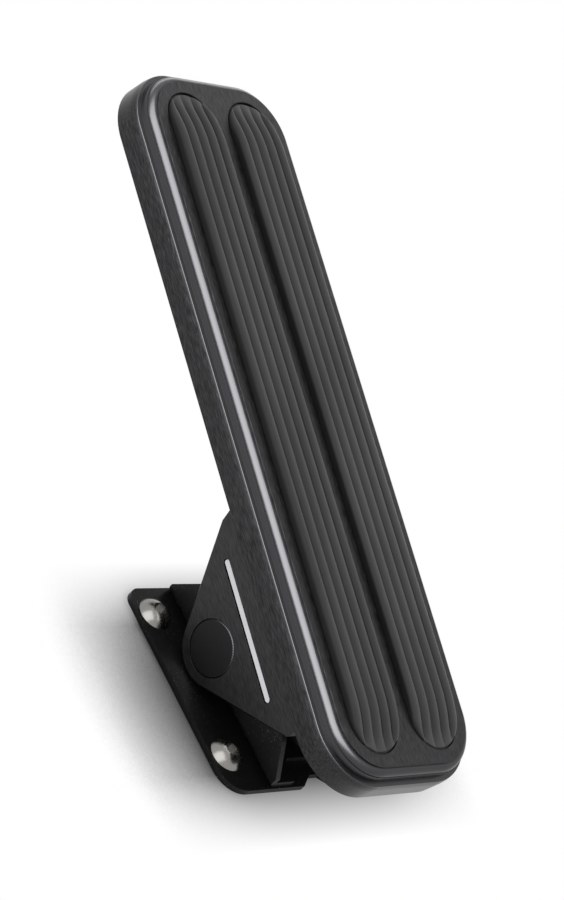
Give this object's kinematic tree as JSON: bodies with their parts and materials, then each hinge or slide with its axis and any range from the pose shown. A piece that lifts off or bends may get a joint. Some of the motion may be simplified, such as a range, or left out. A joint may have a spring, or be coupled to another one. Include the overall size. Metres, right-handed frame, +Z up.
{
  "type": "floor-mounted accelerator pedal",
  "caption": "Long rounded accelerator pedal with two ribbed rubber inserts, swinging on a folded floor bracket with a cross shaft and return springs.",
  "frame": {"origin": "centre of the four floor screws, on the underside of the base plate", "axes": "+Z up away from the floor, +Y toward the pad's far (toe) end, +X to the right along the pivot shaft"},
  "size_m": [0.0796, 0.2248, 0.1054],
  "materials": {
    "anodised_pad": "black anodised, brushed sides and polished edge",
    "anodised_carrier": "black anodised, fine machining lines",
    "anodised_cap": "black anodised, smooth",
    "ribbed_rubber": "satin moulded black rubber",
    "rubber": "matte black rubber",
    "coated_steel": "semi-gloss black coated steel sheet",
    "stainless": "polished stainless steel",
    "ground_steel": "ground steel",
    "spring_steel": "dark spring steel",
    "zinc_steel": "zinc-plated steel",
    "bronze": "sintered bronze",
    "nylon": "black nylon"
  },
  "bodies": {
    "bracket": {"base_plate": "coated_steel", "pivot_bracket": "coated_steel", "bracket_rivets": "coated_steel", "floor_screws": "stainless", "pivot_shaft": "ground_steel", "ring_left": "spring_steel", "ring_right": "spring_steel", "spacer_sleeve": "nylon", "spring_left": "spring_steel", "spring_right": "spring_steel", "rest_bumper": "rubber", "stop_screw": "zinc_steel", "stop_nut": "zinc_steel"},
    "pedal": {"pedal_pad": "anodised_pad", "insert_left": "ribbed_rubber", "insert_right": "ribbed_rubber", "pivot_carrier": "anodised_carrier", "carrier_screws": "zinc_steel", "bush_left": "bronze", "bush_right": "bronze", "cap_left": "anodised_cap", "cap_right": "anodised_cap"}
  },
  "joints": [
    {"name": "pedal_pivot", "type": "hinge", "parent": "bracket", "child": "pedal", "pos_m": [0, 0.0038, 0.0146], "axis": [1, 0, 0], "range_deg": [-18, 0], "stiffness_Nm_per_rad": 4, "springref_deg": 28.65, "deforming": ["spring_left", "spring_right"]}
  ]
}
